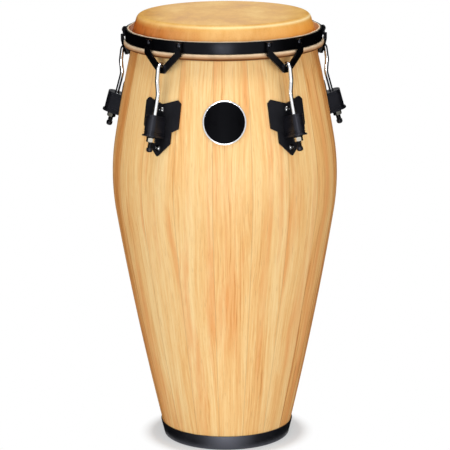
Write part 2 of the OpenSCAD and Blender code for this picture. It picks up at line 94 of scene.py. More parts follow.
def leave_angle(way, r, z, far):
    """Angle at which the belly's arc runs into the long arc that ends at (r, z)."""
    dr, dz, spare = r - (BELLY_R - BELLY_ARC), way * (z - BELLY_H), far - BELLY_ARC
    near = (far**2 - spare**2 - dr**2 - dz**2) / (2 * spare)
    return math.atan2(dz, dr) - math.acos(near / math.hypot(dr, dz))


LOWER = leave_angle(-1, FOOT_R, 0, LOWER_ARC)
UPPER = leave_angle(1, TOP_R, SHELL_TOP, UPPER_ARC)


def arc_at(z):
    """Centre and radius of the arc of the outline at a height."""
    x = BELLY_R - BELLY_ARC
    if z < BELLY_H - BELLY_ARC * math.sin(LOWER):
        spare = LOWER_ARC - BELLY_ARC
        return x - spare * math.cos(LOWER), BELLY_H + spare * math.sin(LOWER), LOWER_ARC
    if z > BELLY_H + BELLY_ARC * math.sin(UPPER):
        spare = UPPER_ARC - BELLY_ARC
        return x - spare * math.cos(UPPER), BELLY_H - spare * math.sin(UPPER), UPPER_ARC
    return x, BELLY_H, BELLY_ARC


def shell_r(z):
    """Outside radius of the shell at a height."""
    x, h, r = arc_at(z)
    return x + math.sqrt(r**2 - (z - h) ** 2)


def shell_lean(z):
    """Angle by which the shell's outside faces upwards at a height, in radians."""
    _, h, r = arc_at(z)
    return math.asin((z - h) / r)


# Middles (r, z) of the bearing edge's rounding and of the ring that the skin is rolled round, and
# the radius at which a rod goes through its lug
EDGE = (shell_r(SHELL_TOP - EDGE_ROUND) - EDGE_ROUND, SHELL_TOP - EDGE_ROUND)
HOOP = (shell_r(HOOP_Z) + HOOP_STAND, HOOP_Z)
ROD_R = shell_r(BLOCK_Z) + PLATE_FACE + ROD_STAND


def steps(a, b, pitch):
    """Evenly spaced values from a to b, no further apart than a pitch."""
    n = max(1, math.ceil(abs(b - a) / pitch))
    return [a + (b - a) * i / n for i in range(n + 1)]


def arc(centre, r, a, b, pitch):
    """Points on an arc, with angles in degrees."""
    return [
        (centre[0] + r * math.cos(math.radians(t)), centre[1] + r * math.sin(math.radians(t)))
        for t in steps(a, b, pitch)
    ]


def turned(angle, x, y, z):
    """Point in metres: x outwards and y to the right at an angle from the front, and height z."""
    a = math.radians(angle)
    right, back = x * math.sin(a) + y * math.cos(a), -x * math.cos(a) + y * math.sin(a)
    return Vector((right, back, z)) * MM


# Meshes

def link(name, data):
    """New object in the scene."""
    made = bpy.data.objects.new(name, data)
    bpy.context.scene.collection.objects.link(made)
    return made


def make(name, verts, faces, finish, body, replaces=()):
    """New smooth-shaded piece that rides on a body."""
    mesh = bpy.data.meshes.new(name)
    mesh.from_pydata([tuple(v) for v in verts], [], faces)
    mesh.validate()
    mesh.materials.append(finish)
    for p in mesh.polygons:
        p.use_smooth = True
    piece = link(name, mesh)
    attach(piece, body)
    if replaces:
        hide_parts(*replaces)
    return piece


def sharpen(piece, angle):
    """Edges sharper than an angle in degrees stay sharp in the shading."""
    piece.data.set_sharp_from_angle(angle=math.radians(angle))


def lathe(loop, segments, wave=None):
    """Vertices and faces of a section (r, z) turned about Z.

    The section is closed, unless both its ends are on the axis. A point on the axis becomes one
    vertex. wave(k, a) gives how far point k is moved outwards and up at angle a.
    """
    verts, faces, rows = [], [], []
    for k, (r, z) in enumerate(loop):
        if r < ON_AXIS:
            rows.append([len(verts)] * segments)
            verts.append(Vector((0, 0, z)) * MM)
            continue
        row = []
        for s in range(segments):
            a = 2 * math.pi * s / segments
            dr, dz = wave(k, a) if wave else (0, 0)
            row.append(len(verts))
            verts.append(Vector(((r + dr) * math.sin(a), -(r + dr) * math.cos(a), z + dz)) * MM)
        rows.append(row)
    count = len(rows)
    open_ended = loop[0][0] < ON_AXIS and loop[-1][0] < ON_AXIS
    for k in range(count - 1 if open_ended else count):
        low, high = rows[k], rows[(k + 1) % count]
        for s in range(segments):
            t = (s + 1) % segments
            quad = [low[s], low[t], high[t], high[s]]
            faces.append(list(dict.fromkeys(quad)))
    return verts, faces


def tube_faces(rings, sides):
    """Faces of a tube made of rings of vertices, closed at both ends."""
    faces = []
    for i in range(rings - 1):
        low, high = i * sides, (i + 1) * sides
        for k in range(sides):
            m = (k + 1) % sides
            faces.append([low + k, low + m, high + m, high + k])
    faces.append(list(range(sides))[::-1])
    faces.append([(rings - 1) * sides + k for k in range(sides)])
    return faces


def swept(path, r, angle):
    """Round bar along a path (r, z) in the plane at an angle from the front, with domed ends."""
    last = len(path) - 1
    dirs = []
    for i in range(len(path)):
        a, b = path[max(0, i - 1)], path[min(last, i + 1)]
        dirs.append(Vector((b[0] - a[0], b[1] - a[1])).normalized())

    def dome(at, d, way, angles):
        """Rings that close an end, backwards or forwards along the bar."""
        rings = []
        for t in angles:
            c, s = math.cos(math.radians(t)), math.sin(math.radians(t))
            middle = (at[0] + way * d.x * r * s * DOME, at[1] + way * d.y * r * s * DOME)
            rings.append((middle, d, r * c))
        return rings

    rings = dome(path[0], dirs[0], -1, DOME_ANGLES)
    rings += [(p, d, r) for p, d in zip(path, dirs)]
    rings += dome(path[-1], dirs[-1], 1, DOME_ANGLES[::-1])
    verts = []
    for p, d, radius in rings:
        for k in range(ROD_SIDES):
            t = 2 * math.pi * k / ROD_SIDES
            out = radius * math.cos(t)
            verts.append(turned(angle, p[0] - d.y * out, radius * math.sin(t), p[1] + d.x * out))
    return verts, tube_faces(len(rings), ROD_SIDES)


def rounded_loop(points, radius):
    """Closed section with its corners rounded."""
    out, n = [], len(points)
    for i in range(n):
        at = Vector(points[i])
        u = (Vector(points[i - 1]) - at).normalized()
        v = (Vector(points[(i + 1) % n]) - at).normalized()
        half = math.acos(max(-1, min(1, u.dot(v)))) / 2
        reach = radius / math.tan(half)
        a, b = at + u * reach, at + v * reach
        for t in range(CORNER_STEPS + 1):
            s = t / CORNER_STEPS
            p = a * (1 - s) ** 2 + at * 2 * s * (1 - s) + b * s**2
            out.append((p.x, p.y))
    return out


# Shader nodes

def node(tree, kind, inputs=None, **settings):
    """New node. An input that is a socket is linked, and any other is a value."""
    made = tree.nodes.new(kind)
    for key, value in settings.items():
        setattr(made, key, value)
    for key, value in (inputs or {}).items():
        if isinstance(value, bpy.types.NodeSocket):
            tree.links.new(value, made.inputs[key])
        else:
            made.inputs[key].default_value = value
    return made


def place(tree):
    """Where a point is in the drum's own frame, in metres."""
    return node(tree, "ShaderNodeTexCoord").outputs["Object"]


def attribute(tree, name, output="Fac"):
    return node(tree, "ShaderNodeAttribute", attribute_name=name).outputs[output]


def noise(tree, vector, scale, detail, rough, shift=(0, 0, 0), distort=0.0, output="Fac"):
    """Noise with a scale per metre: one number, or three for X, Y and Z, which may be shifted."""
    if isinstance(scale, tuple):
        stretch = {"Vector": vector, "Scale": scale, "Location": shift}
        vector, scale = node(tree, "ShaderNodeMapping", stretch).outputs["Vector"], 1.0
    return node(tree, "ShaderNodeTexNoise", {
        "Vector": vector, "Scale": scale, "Detail": detail, "Roughness": rough,
        "Distortion": distort,
    }).outputs[output]


def ramp(tree, fac, stops, smooth=False):
    """Colour or grey level from stops of (place, colour or level)."""
    made = node(tree, "ShaderNodeValToRGB", {"Fac": fac})
    band = made.color_ramp
    band.interpolation = "EASE" if smooth else "LINEAR"
    while len(band.elements) < len(stops):
        band.elements.new(0.5)
    for element, (at, colour) in zip(band.elements, stops):
        element.position = at
        element.color = colour if hasattr(colour, "__len__") else (colour, colour, colour, 1)
    return made.outputs["Color"]


def patches(tree, pattern, start, full, most=1.0):
    """Mask of the places where a pattern rises from a start to full."""
    return ramp(tree, pattern, [(start, 0.0), (full, most)])


def mix(tree, fac, a, b, blend="MIX"):
    inputs = {0: fac, 6: a, 7: b}
    return node(tree, "ShaderNodeMix", inputs, data_type="RGBA", blend_type=blend).outputs[2]


def maths(tree, how, a, b):
    return node(tree, "ShaderNodeMath", {0: a, 1: b}, operation=how).outputs[0]


def spread(tree, fac, over, to, how="LINEAR"):
    """Goes from to[0] to to[1] while fac goes over a range, and is clamped outside it."""
    return node(tree, "ShaderNodeMapRange", {
        "Value": fac, "From Min": over[0], "From Max": over[1], "To Min": to[0], "To Max": to[1],
    }, interpolation_type=how).outputs["Result"]


def length(tree, vector):
    return node(tree, "ShaderNodeVectorMath", {0: vector}, operation="LENGTH").outputs["Value"]


def bump(tree, height, strength, distance):
    inputs = {"Height": height, "Strength": strength, "Distance": distance}
    return node(tree, "ShaderNodeBump", inputs).outputs["Normal"]


def material(name, **constants):
    """Material with a Principled shader, its constants set on the shader's own sockets."""
    mat = bpy.data.materials.new(name)
    mat.use_nodes = True
    tree = mat.node_tree
    shader = tree.nodes["Principled BSDF"]
    for key, value in constants.items():
        shader.inputs[key.replace("_", " ")].default_value = value
    return mat, tree, shader


def connect(tree, shader, base, rough, normal):
    for key, socket in (("Base Color", base), ("Roughness", rough), ("Normal", normal)):
        tree.links.new(socket, shader.inputs[key])


def srgb(r, g, b):
    """Linear colour of an sRGB triple from 0 to 255."""
    def lin(c):
        c /= 255
        return c / 12.92 if c <= 0.04045 else ((c + 0.055) / 1.055) ** 2.4
    return (lin(r), lin(g), lin(b), 1)


# Colours of the wood, from pale to orange, of what lies in and on it, and of the painted shadow
# under the roll of the skin
WOOD_SHADES = [
    (0.0, srgb(250, 217, 157)), (0.3, srgb(246, 206, 142)), (0.55, srgb(241, 191, 122)),
    (0.8, srgb(232, 170, 99)), (1.0, srgb(208, 134, 65)),
]
HEARTWOOD, PORE = srgb(236, 160, 90), srgb(176, 112, 58)
# Glue in the seams, and the painted shadow under the roll of the skin
GLUE, ROLL_SHADOW = srgb(172, 108, 56), srgb(104, 54, 16)
# How far the wood's grain wanders, in metres, how much its rings and lines darken it, how much
# heartwood and pores cover it, and how far its fine lines stand up and its pores go in
WANDER = (0.018, 0.014, 0.0)
RING_SHADE, LINE_SHADE = 0.55, 0.46
HEART_COVER, PORE_COVER = 0.75, 0.4
LINE_RELIEF, PORE_RELIEF = 0.3, 0.6

# Colours of the hide: on top, drawn down the side, and from the cut edge down round the roll,
# which darkens to painted shade underneath
HIDE_TOP = [(0.3, srgb(212, 150, 74)), (0.5, srgb(232, 180, 98)), (0.7, srgb(246, 206, 132))]
HIDE_SIDE = [(0.25, srgb(222, 156, 82)), (0.5, srgb(230, 176, 106)), (0.75, srgb(240, 196, 128))]
HIDE_ROLL_AND_SHADE = [
    (0.0, srgb(250, 228, 196)), (0.19, srgb(240, 214, 178)), (0.31, srgb(232, 206, 172)),
    (0.45, srgb(216, 182, 146)), (0.59, srgb(194, 152, 112)), (0.74, srgb(168, 118, 76)),
    (0.82, srgb(112, 60, 20)), (1.0, srgb(88, 44, 10)),
]
# Painted shade on the left and right flanks
FLANK_SHADE_LEFT, FLANK_SHADE_RIGHT = srgb(194, 98, 30), srgb(244, 160, 54)
# Colours of stains, of the painted highlight on the bend, and of specks
STAIN, CREASE_HIGHLIGHT, SPECK = srgb(142, 78, 30), srgb(254, 230, 172), srgb(176, 116, 56)

# Blacks: the tints of their gloss, how much their clouds lighten them, the colour of a scuff, how
# much it covers and how much it roughens
COOL, WHITE = (0.8, 0.83, 1.0, 1), (1, 1, 1, 1)
CLOUD_LIFT = 2.4
SCUFF, SCUFF_COVER, SCUFF_ROUGH = (0.02, 0.02, 0.022, 1), 0.2, 0.12


# Materials

def wood_material():
    """Lacquered pale hardwood. The grain attribute runs across, through and along each stave."""
    mat, tree, shader = material("wood", Specular_IOR_Level=0.3)
    tone, flame, seam = (attribute(tree, name) for name in ("tone", "flame", "seam"))
    straight = attribute(tree, "grain", "Vector")
    # The grain wanders sideways as it runs along the stave
    wander = noise(tree, straight, (14, 14, 4.5), detail=2.0, rough=0.5, output="Color")
    sideways = {0: wander, 1: WANDER, 2: straight}
    grain = node(tree, "ShaderNodeVectorMath", sideways, operation="MULTIPLY_ADD").outputs["Vector"]
    # Wide bands, narrower streaks in them, and fine lines
    bands = noise(tree, grain, (52, 34, 2.2), detail=3.0, rough=0.5)
    streaks = noise(tree, grain, (260, 120, 5.0), detail=4.0, rough=0.7)
    fine = noise(tree, grain, (560, 300, 16), detail=4.0, rough=0.75)
    shade = maths(tree, "ADD", tone, spread(tree, bands, over=(0.28, 0.72), to=(-0.28, 0.28)))
    shade = maths(tree, "ADD", shade, spread(tree, streaks, over=(0.32, 0.68), to=(-0.2, 0.2)))
    shade = maths(tree, "ADD", shade, spread(tree, fine, over=(0.26, 0.74), to=(-0.24, 0.24)))
    # Growth rings, which show as flames where they run out of the face
    rings = node(tree, "ShaderNodeTexWave", {
        "Vector": grain, "Scale": 70.0, "Distortion": 1.2, "Detail": 2.0,
        "Detail Scale": 0.8, "Detail Roughness": 0.55,
    }, wave_type="RINGS", rings_direction="Z", wave_profile="SIN").outputs["Fac"]
    late = ramp(tree, rings, [(0.5, 0.0), (0.96, 1.0)], smooth=True)
    late = maths(tree, "MULTIPLY", late, flame)
    shade = maths(tree, "ADD", shade, maths(tree, "MULTIPLY", late, RING_SHADE))
    # Thin dark lines, close together in some places, and more of them on the darker staves
    crowded = noise(tree, grain, (24, 20, 1.6), detail=2.0, rough=0.5, shift=(2, 5, 3))
    lined = patches(tree, crowded, 0.44, 0.6, most=0.7)
    lined = maths(tree, "ADD", lined, spread(tree, tone, over=(0.45, 0.62), to=(0.0, 1.0)))
    thin = noise(tree, grain, (320, 200, 3.2), detail=4.0, rough=0.65, shift=(7, 3, 1))
    lines = maths(tree, "MULTIPLY", patches(tree, thin, 0.5, 0.62), lined)
    shade = maths(tree, "ADD", shade, maths(tree, "MULTIPLY", lines, LINE_SHADE))
    base = ramp(tree, shade, WOOD_SHADES)
    # Tongues of orange heartwood
    tongues = noise(tree, grain, (44, 30, 3.4), detail=4.0, rough=0.6, shift=(1, 8, 6))
    heart = maths(tree, "MULTIPLY", patches(tree, tongues, 0.5, 0.68), HEART_COVER)
    base = mix(tree, heart, base, HEARTWOOD)
    # Pores: short dark dashes
    pores = noise(tree, grain, (1300, 800, 40), detail=2.0, rough=0.5)
    dash = patches(tree, pores, 0.6, 0.74)
    base = mix(tree, maths(tree, "MULTIPLY", dash, PORE_COVER), base, PORE)
    # Dark glue line along the seams
    base = mix(tree, spread(tree, seam, over=(0.0003, 0.0009), to=(0.3, 0.0)), base, GLUE)
    # Painted shadow: a dark band on the wood just under the roll of the skin
    up = node(tree, "ShaderNodeSeparateXYZ", {"Vector": place(tree)}).outputs["Z"]
    ring_z = HOOP[1] * MM
    roll_shadow_band = (ring_z - 0.0076, ring_z - 0.0062)
    base = mix(tree, spread(tree, up, over=roll_shadow_band, to=(0.0, 0.85)), base, ROLL_SHADOW)
    raised = maths(tree, "MULTIPLY", fine, LINE_RELIEF)
    height = maths(tree, "SUBTRACT", raised, maths(tree, "MULTIPLY", dash, PORE_RELIEF))
    rough = spread(tree, streaks, over=(0.3, 0.7), to=(0.36, 0.5))
    connect(tree, shader, base, rough, bump(tree, height, strength=0.25, distance=0.0002))
    return mat


def hide_material():
    """Natural rawhide: mottled on top, streaked at the side, pale at its dry edge. It has painted
    shade towards the flanks and under the roll, and a painted highlight on the bend.
    """
    mat, tree, shader = material("hide", Specular_IOR_Level=0.08)
    where = place(tree)
    xyz = node(tree, "ShaderNodeSeparateXYZ", {"Vector": where})
    x, y, z = (xyz.outputs[axis] for axis in "XYZ")
    out = length(tree, node(tree, "ShaderNodeCombineXYZ", {"X": x, "Y": y}).outputs["Vector"])
    clouds = noise(tree, where, (15, 11, 11), detail=7.0, rough=0.68, shift=(3, 1, 2), distort=0.15)
    top = ramp(tree, clouds, HIDE_TOP)
    drawn = noise(tree, where, (42, 42, 9), detail=4.0, rough=0.6, distort=0.4)
    side = ramp(tree, drawn, HIDE_SIDE)
    # Painted shade: darker and more orange towards both flanks of the hide, more on the left
    side = mix(tree, spread(tree, x, over=(-0.14, -0.03), to=(0.95, 0.0)), side, FLANK_SHADE_LEFT)
    side = mix(tree, spread(tree, x, over=(0.05, 0.14), to=(0.0, 0.8)), side, FLANK_SHADE_RIGHT)
    # Brown stains drawn down the left flank
    stain = noise(tree, where, (70, 70, 16), detail=4.0, rough=0.65, shift=(5, 2, 7))
    stain = patches(tree, stain, 0.46, 0.66)
    left = spread(tree, x, over=(-0.14, -0.06), to=(0.7, 0.0))
    side = mix(tree, maths(tree, "MULTIPLY", stain, left), side, STAIN)
    # From the top to the side, over the last millimetres below the top
    drop = spread(tree, z, over=((DRUM_H - 12) * MM, (DRUM_H - 1) * MM), to=(1.0, 0.0))
    base = mix(tree, drop, top, side)
    # Painted highlight where the hide bends over the bearing edge, less on the left flank
    bend = ramp(tree, drop, [(0.0, 0.0), (0.2, 1.0), (0.5, 0.0)])
    highlight_share = spread(tree, x, over=(-0.11, -0.01), to=(0.1, 0.85))
    base = mix(tree, maths(tree, "MULTIPLY", bend, highlight_share), base, CREASE_HIGHLIGHT)
    specks = noise(tree, where, (420, 420, 420), detail=3.0, rough=0.6)
    base = mix(tree, spread(tree, specks, over=(0.55, 0.75), to=(0.0, 0.22)), base, SPECK)
    # The roll round the ring and the cut edge are paler, dry hide, and painted shade darkens the
    # roll towards its underside
    ring_r, ring_z = HOOP[0] * MM, HOOP[1] * MM
    # How far down the roll the painted shade has come
    under = spread(tree, z, over=(ring_z + 0.008, ring_z - 0.005), to=(0.0, 1.0))
    dry = noise(tree, where, (60, 60, 60), detail=4.0, rough=0.6, shift=(4, 2, 1))
    dry = ramp(tree, dry, [(0.35, 0.84), (0.6, 1.0)])
    roll = mix(tree, 1.0, ramp(tree, under, HIDE_ROLL_AND_SHADE), dry, "MULTIPLY")
    edge = spread(tree, out, over=(ring_r - 0.0048, ring_r - 0.0036), to=(0.0, 1.0))
    base = mix(tree, edge, base, roll)
    rough = spread(tree, clouds, over=(0.3, 0.7), to=(0.34, 0.46))
    connect(tree, shader, base, rough, bump(tree, specks, strength=0.25, distance=0.0004))
    return mat


def coat_material(name, colour, rough, grain, depth, shine, ior=1.5, tint=COOL):
    """Black coat on steel, or moulded black: a fine grain, cloudy gloss and a few dry scuffs."""
    mat, tree, shader = material(name, Specular_IOR_Level=shine, Specular_Tint=tint, IOR=ior)
    where = place(tree)
    clouds = noise(tree, where, 35.0, detail=4.0, rough=0.6)
    peel = noise(tree, where, grain, detail=2.0, rough=0.5)
    scuff = noise(tree, where, (90, 90, 260), detail=5.0, rough=0.7, shift=(2, 5, 3))
    scuff = patches(tree, scuff, 0.66, 0.82)
    lighter = tuple(c * CLOUD_LIFT for c in colour[:3]) + (1,)
    base = mix(tree, spread(tree, clouds, over=(0.35, 0.75), to=(0.0, 0.5)), colour, lighter)
    base = mix(tree, maths(tree, "MULTIPLY", scuff, SCUFF_COVER), base, SCUFF)
    gloss = spread(tree, clouds, over=(0.3, 0.7), to=(rough - 0.05, rough + 0.08))
    gloss = maths(tree, "ADD", gloss, maths(tree, "MULTIPLY", scuff, SCUFF_ROUGH))
    connect(tree, shader, base, gloss, bump(tree, peel, strength=0.3, distance=depth))
    return mat


def metal_material(name, colour, dull, rough, grain=(60, 60, 60)):
    """Plated metal with faint haze and fingermarks."""
    mat, tree, shader = material(name, Metallic=1.0)
    where = place(tree)
    haze = noise(tree, where, grain, detail=4.0, rough=0.6)
    base = mix(tree, spread(tree, haze, over=(0.35, 0.75), to=(0.0, 1.0)), colour, dull)
    fine = noise(tree, where, 900.0, detail=2.0, rough=0.5)
    normal = bump(tree, fine, strength=0.06, distance=0.00005)
    connect(tree, shader, base, spread(tree, haze, over=(0.3, 0.7), to=rough), normal)
    return mat


WOOD = wood_material()
HIDE = hide_material()
COAT = coat_material(
    "black_coat", (0.0010, 0.0010, 0.0013, 1), rough=0.3, grain=900.0, depth=0.00004, shine=0.12)
SATIN = coat_material(
    "black_satin", (0.006, 0.006, 0.0072, 1), rough=0.45, grain=900.0, depth=0.00006, shine=0.14)
COLLAR = coat_material(
    "black_collar", (0.0015, 0.0015, 0.0022, 1), rough=0.5, grain=900.0, depth=0.00006, shine=1.0,
    ior=1.6)
MOULDED = coat_material(
    "black_moulded", (0.005, 0.005, 0.0068, 1), rough=0.32, grain=1600.0, depth=0.00008, shine=0.34)
ENAMEL = coat_material(
    "badge_enamel", (0.0008, 0.0008, 0.001, 1), rough=0.3, grain=500.0, depth=0.00002, shine=0.03)
GLOSS = coat_material(
    "black_gloss", (0.003, 0.003, 0.0036, 1), rough=0.12, grain=500.0, depth=0.00001, shine=1.0,
    ior=1.8, tint=WHITE)
STUD = coat_material(
    "black_stud", (0.002, 0.002, 0.0026, 1), rough=0.22, grain=500.0, depth=0.00001, shine=0.5)
CHROME = metal_material(
    "chrome", (0.80, 0.81, 0.83, 1), dull=(0.66, 0.67, 0.69, 1), rough=(0.06, 0.16))
# Plated nuts, their colour warmed and darkened as a painted reflection of the wood and of dark
# surroundings
NUT_METAL_AND_REFLECTION = metal_material(
    "nut_metal_and_reflection", (0.66, 0.63, 0.55, 1), dull=(0.42, 0.39, 0.32, 1), rough=(0.06, 0.16))
ZINC = metal_material(
    "zinc_plate", (0.50, 0.51, 0.52, 1), dull=(0.38, 0.38, 0.38, 1), rough=(0.3, 0.48),
    grain=(120, 120, 30))
OXIDE = metal_material(
    "black_oxide", (0.035, 0.035, 0.038, 1), dull=(0.02, 0.02, 0.021, 1), rough=(0.32, 0.48))


# Staves

# Tone of each stave, pale to orange, and how much flame shows on it. They go round the drum from
# the stave on the right of the seam at SEAM_ANGLE. The tones are partly the wood's own and partly
# painted shade: the staves at the right and left edges seen from the front, the fourth and the
# fourteenth, are set darker and more orange.
TONES_AND_EDGE_SHADE = (
    0.40, 0.44, 0.58, 0.84, 0.60, 0.50, 0.40, 0.60, 0.34,
    0.50, 0.42, 0.56, 0.66, 0.80, 0.40, 0.32, 0.34, 0.42,
)
FLAMES = (
    0.5, 0.3, 0.2, 0.6, 0.2, 0.4, 0.9, 0.2, 0.5,
    0.2, 0.8, 0.3, 0.4, 0.2, 0.2, 0.3, 0.3, 1.0,
)
HALF_STAVE = 180 / STAVES
# Ranges from which each stave's growth rings are drawn: where their middle is beside, behind and
# along the stave, and how much it leans
PITH_BESIDE, PITH_BEHIND, PITH_ALONG, PITH_LEAN = (-90, 90), (18, 34), (0, 9000), (0.02, 0.05)
# Columns of vertices across a stave, as shares of its half width, closer together at the seams
ACROSS = [-1, -0.985, -0.95] + [x / 5 for x in range(-4, 5)] + [0.95, 0.985, 1]


def stave_section():
    """Closed section of a stave as (r, z, depth from the outside)."""
    outside = [(shell_r(z), z, 0.0) for z in steps(SHELL_BOTTOM, EDGE[1], OUTSIDE_PITCH)]
    first = math.degrees(shell_lean(EDGE[1])) + EDGE_TURN
    rounding = arc(EDGE, EDGE_ROUND, first, 90, EDGE_TURN)
    edge = [(r, z, max(0.0, shell_r(z) - r)) for r, z in rounding]
    heights = steps(SHELL_TOP, SHELL_BOTTOM, INSIDE_PITCH)
    return outside + edge + [(shell_r(z) - STAVE_T, z, STAVE_T) for z in heights]


def stave_faces(count):
    """Faces between the columns of a stave, which have a count of vertices each, and its sides."""
    faces, last = [], len(ACROSS) - 1
    for c in range(last):
        here, there = c * count, (c + 1) * count
        for k in range(count):
            m = (k + 1) % count
            faces.append([here + k, there + k, there + m, here + m])
    faces.append(list(range(count)))
    faces.append([last * count + k for k in range(count)][::-1])
    return faces


def build_staves():
    """Staves, each with a tone, a flame and a grain of its own."""
    dice = random.Random(7)
    section = stave_section()
    faces = stave_faces(len(section))
    for i, (tone, flame) in enumerate(zip(TONES_AND_EDGE_SHADE, FLAMES)):
        middle = SEAM_ANGLE + 360 / STAVES * i + HALF_STAVE
        beside = (1 - flame) * dice.choice(PITH_BESIDE)
        behind, along = dice.uniform(*PITH_BEHIND), dice.uniform(*PITH_ALONG)
        lean = dice.choice((-1, 1)) * dice.uniform(*PITH_LEAN)
        verts, grain, seam = [], [], []
        for u in ACROSS:
            at_seam = abs(u) == 1
            for r, z, depth in section:
                radius = r - SEAM_EASE if at_seam and depth < STAVE_T else r
                gap = math.degrees(SEAM_GAP / radius) if at_seam else 0.0
                angle = middle + HALF_STAVE * u - gap * (1 if u > 0 else -1)
                verts.append(turned(angle, radius, 0, z))
                seam.append(math.radians(HALF_STAVE * (1 - abs(u))) * r * MM)
                grain.append((math.radians(HALF_STAVE * u) * r + beside) * MM)
                grain.append((behind - depth + lean * (z - BELLY_H)) * MM)
                grain.append((z + along) * MM)
        name = f"stave_{i + 1:02d}"
        stave = make(name, verts, faces, WOOD, "shell", ["shell_staves"])
        sharpen(stave, 30)
        fields = stave.data.attributes
        fields.new("grain", "FLOAT_VECTOR", "POINT").data.foreach_set("vector", grain)
        tones, flames = [tone] * len(verts), [flame] * len(verts)
        for field, values in (("tone", tones), ("flame", flames), ("seam", seam)):
            fields.new(field, "FLOAT", "POINT").data.foreach_set("value", values)


# Head and foot

# Uneven cut edge of the skin: waves round it, and the range of their heights
CUT_WAVES, CUT_HEIGHT = (5, 9, 14, 23, 37), (0.05, 0.22)


def build_skin():
    """Skin over the bearing edge, rolled round the ring, its cut edge standing up in the rim."""
    outer = EDGE_ROUND + FIT_GAP + SKIN_T
    dx, dz = HOOP[0] - EDGE[0], HOOP[1] - EDGE[1]
    near = (outer + RING_SEAT_R) / math.hypot(dx, dz)
    lean = math.degrees(math.atan2(dz, dx) + math.acos(near))
    bend = (HOOP[0], HOOP[1] + RING_SEAT_R + SKIN_T / 2 + TAIL_BEND)
    tail_r, tail_top = HOOP[0] - TAIL_BEND, RIM_LOW + RIM_H + TAIL_PROUD

    def between(a, b, count):
        """Points from a to b, without a."""
        return [
            (a[0] + (b[0] - a[0]) * t / count, a[1] + (b[1] - a[1]) * t / count)
            for t in range(1, count + 1)
        ]

    def side(depth):
        """The skin's section at a depth under its face, from its middle to its cut edge."""
        flat = [(r, DRUM_H - depth) for r in steps(0, EDGE[0], pitch=12)][:-1]
        drawn = arc(EDGE, outer - depth, 90, lean, pitch=5)
        rolled = arc(HOOP, RING_SEAT_R + depth, 180 + lean, 450, pitch=12)
        turn = arc(bend, TAIL_BEND + SKIN_T / 2 - depth, 270, 180, pitch=15)
        x, low = tail_r - SKIN_T / 2 + depth, turn[-1][1]
        straight = between(drawn[-1], rolled[0], count=6)[:-1]
        tail = between((x, low), (x, tail_top), count=4)
        return flat + drawn + straight + rolled + turn + tail

    face, back = side(0), side(SKIN_T)
    cut = {len(face) - 1, len(face)}
    dice = random.Random(3)
    phases = [(n, dice.uniform(0, 6.28), dice.uniform(*CUT_HEIGHT)) for n in CUT_WAVES]

    def wave(k, a):
        """The hand-cut edge stands up unevenly."""
        if k not in cut:
            return 0, 0
        return 0, sum(h * math.sin(n * a + p) for n, p, h in phases)

    verts, faces = lathe(face + back[::-1], HEAD_SEGMENTS, wave)
    skin = make("drum_skin", verts, faces, HIDE, "head", ["head_skin"])
    sharpen(skin, 50)


def build_rim():
    """Flat band with rounded corners, which pushes the roll of the skin down."""
    inside, high = HOOP[0] - RIM_INSET, RIM_LOW + RIM_H
    outside = inside + RIM_T
    corners = [(inside, RIM_LOW), (outside, RIM_LOW), (outside, high), (inside, high)]
    verts, faces = lathe(rounded_loop(corners, RIM_ROUND), HEAD_SEGMENTS)
    rim = make("rim_hoop", verts, faces, COAT, "head", ["rim_band"])
    sharpen(rim, 40)


def build_foot():
    """Band round the foot, with a lip turned in under the staves."""
    lip = FOOT_R - COLLAR_LIP
    inside = shell_r(COLLAR_H) + SEAT_GAP
    outside = inside + COLLAR_T
    bend = (shell_r(COLLAR_BEND) + SEAT_GAP + COLLAR_T - COLLAR_BEND, COLLAR_BEND)
    # The lip's corners and the upper edge are eased by a fraction of a millimetre
    lip_below = [(lip, 0.25), (lip + 0.4, 0)]
    lip_above = [(lip + 0.4, COLLAR_T), (lip, COLLAR_T - 0.4)]
    upper_edge = [
        (outside - 0.02, COLLAR_H - 0.8), (outside - 0.25, COLLAR_H - 0.2),
        (outside - 0.8, COLLAR_H), (inside + 0.3, COLLAR_H), (inside, COLLAR_H - 0.4),
    ]
    loop = lip_below + arc(bend, COLLAR_BEND, -90, 0, pitch=10) + upper_edge
    loop += arc(bend, COLLAR_BEND - COLLAR_T, 0, -90, pitch=15) + lip_above
    verts, faces = lathe(loop, FOOT_SEGMENTS)
    foot = make("foot_band", verts, faces, COLLAR, "shell", ["foot_collar"])
    sharpen(foot, 40)


# Hooks

def on_rod(along):
    """Point (r, z) on a rod's axis, from the middle of its lug upwards."""
    return (ROD_R - along * math.sin(ROD_TILT), BLOCK_Z + along * math.cos(ROD_TILT))


def bent(before, at, after, radius):
    """Points of a rounded bend between two straights."""
    corner = Vector(at)
    u, v = (Vector(before) - corner).normalized(), (Vector(after) - corner).normalized()
    half = math.acos(u.dot(v)) / 2
    centre = corner + (u + v).normalized() * radius / math.sin(half)
    first = corner + u * radius / math.tan(half) - centre
    start = math.degrees(math.atan2(first.y, first.x))
    turn = (180 - 2 * math.degrees(half)) * (1 if v.x * u.y - v.y * u.x > 0 else -1)
    return arc(centre, radius, start, start + turn, pitch=3)


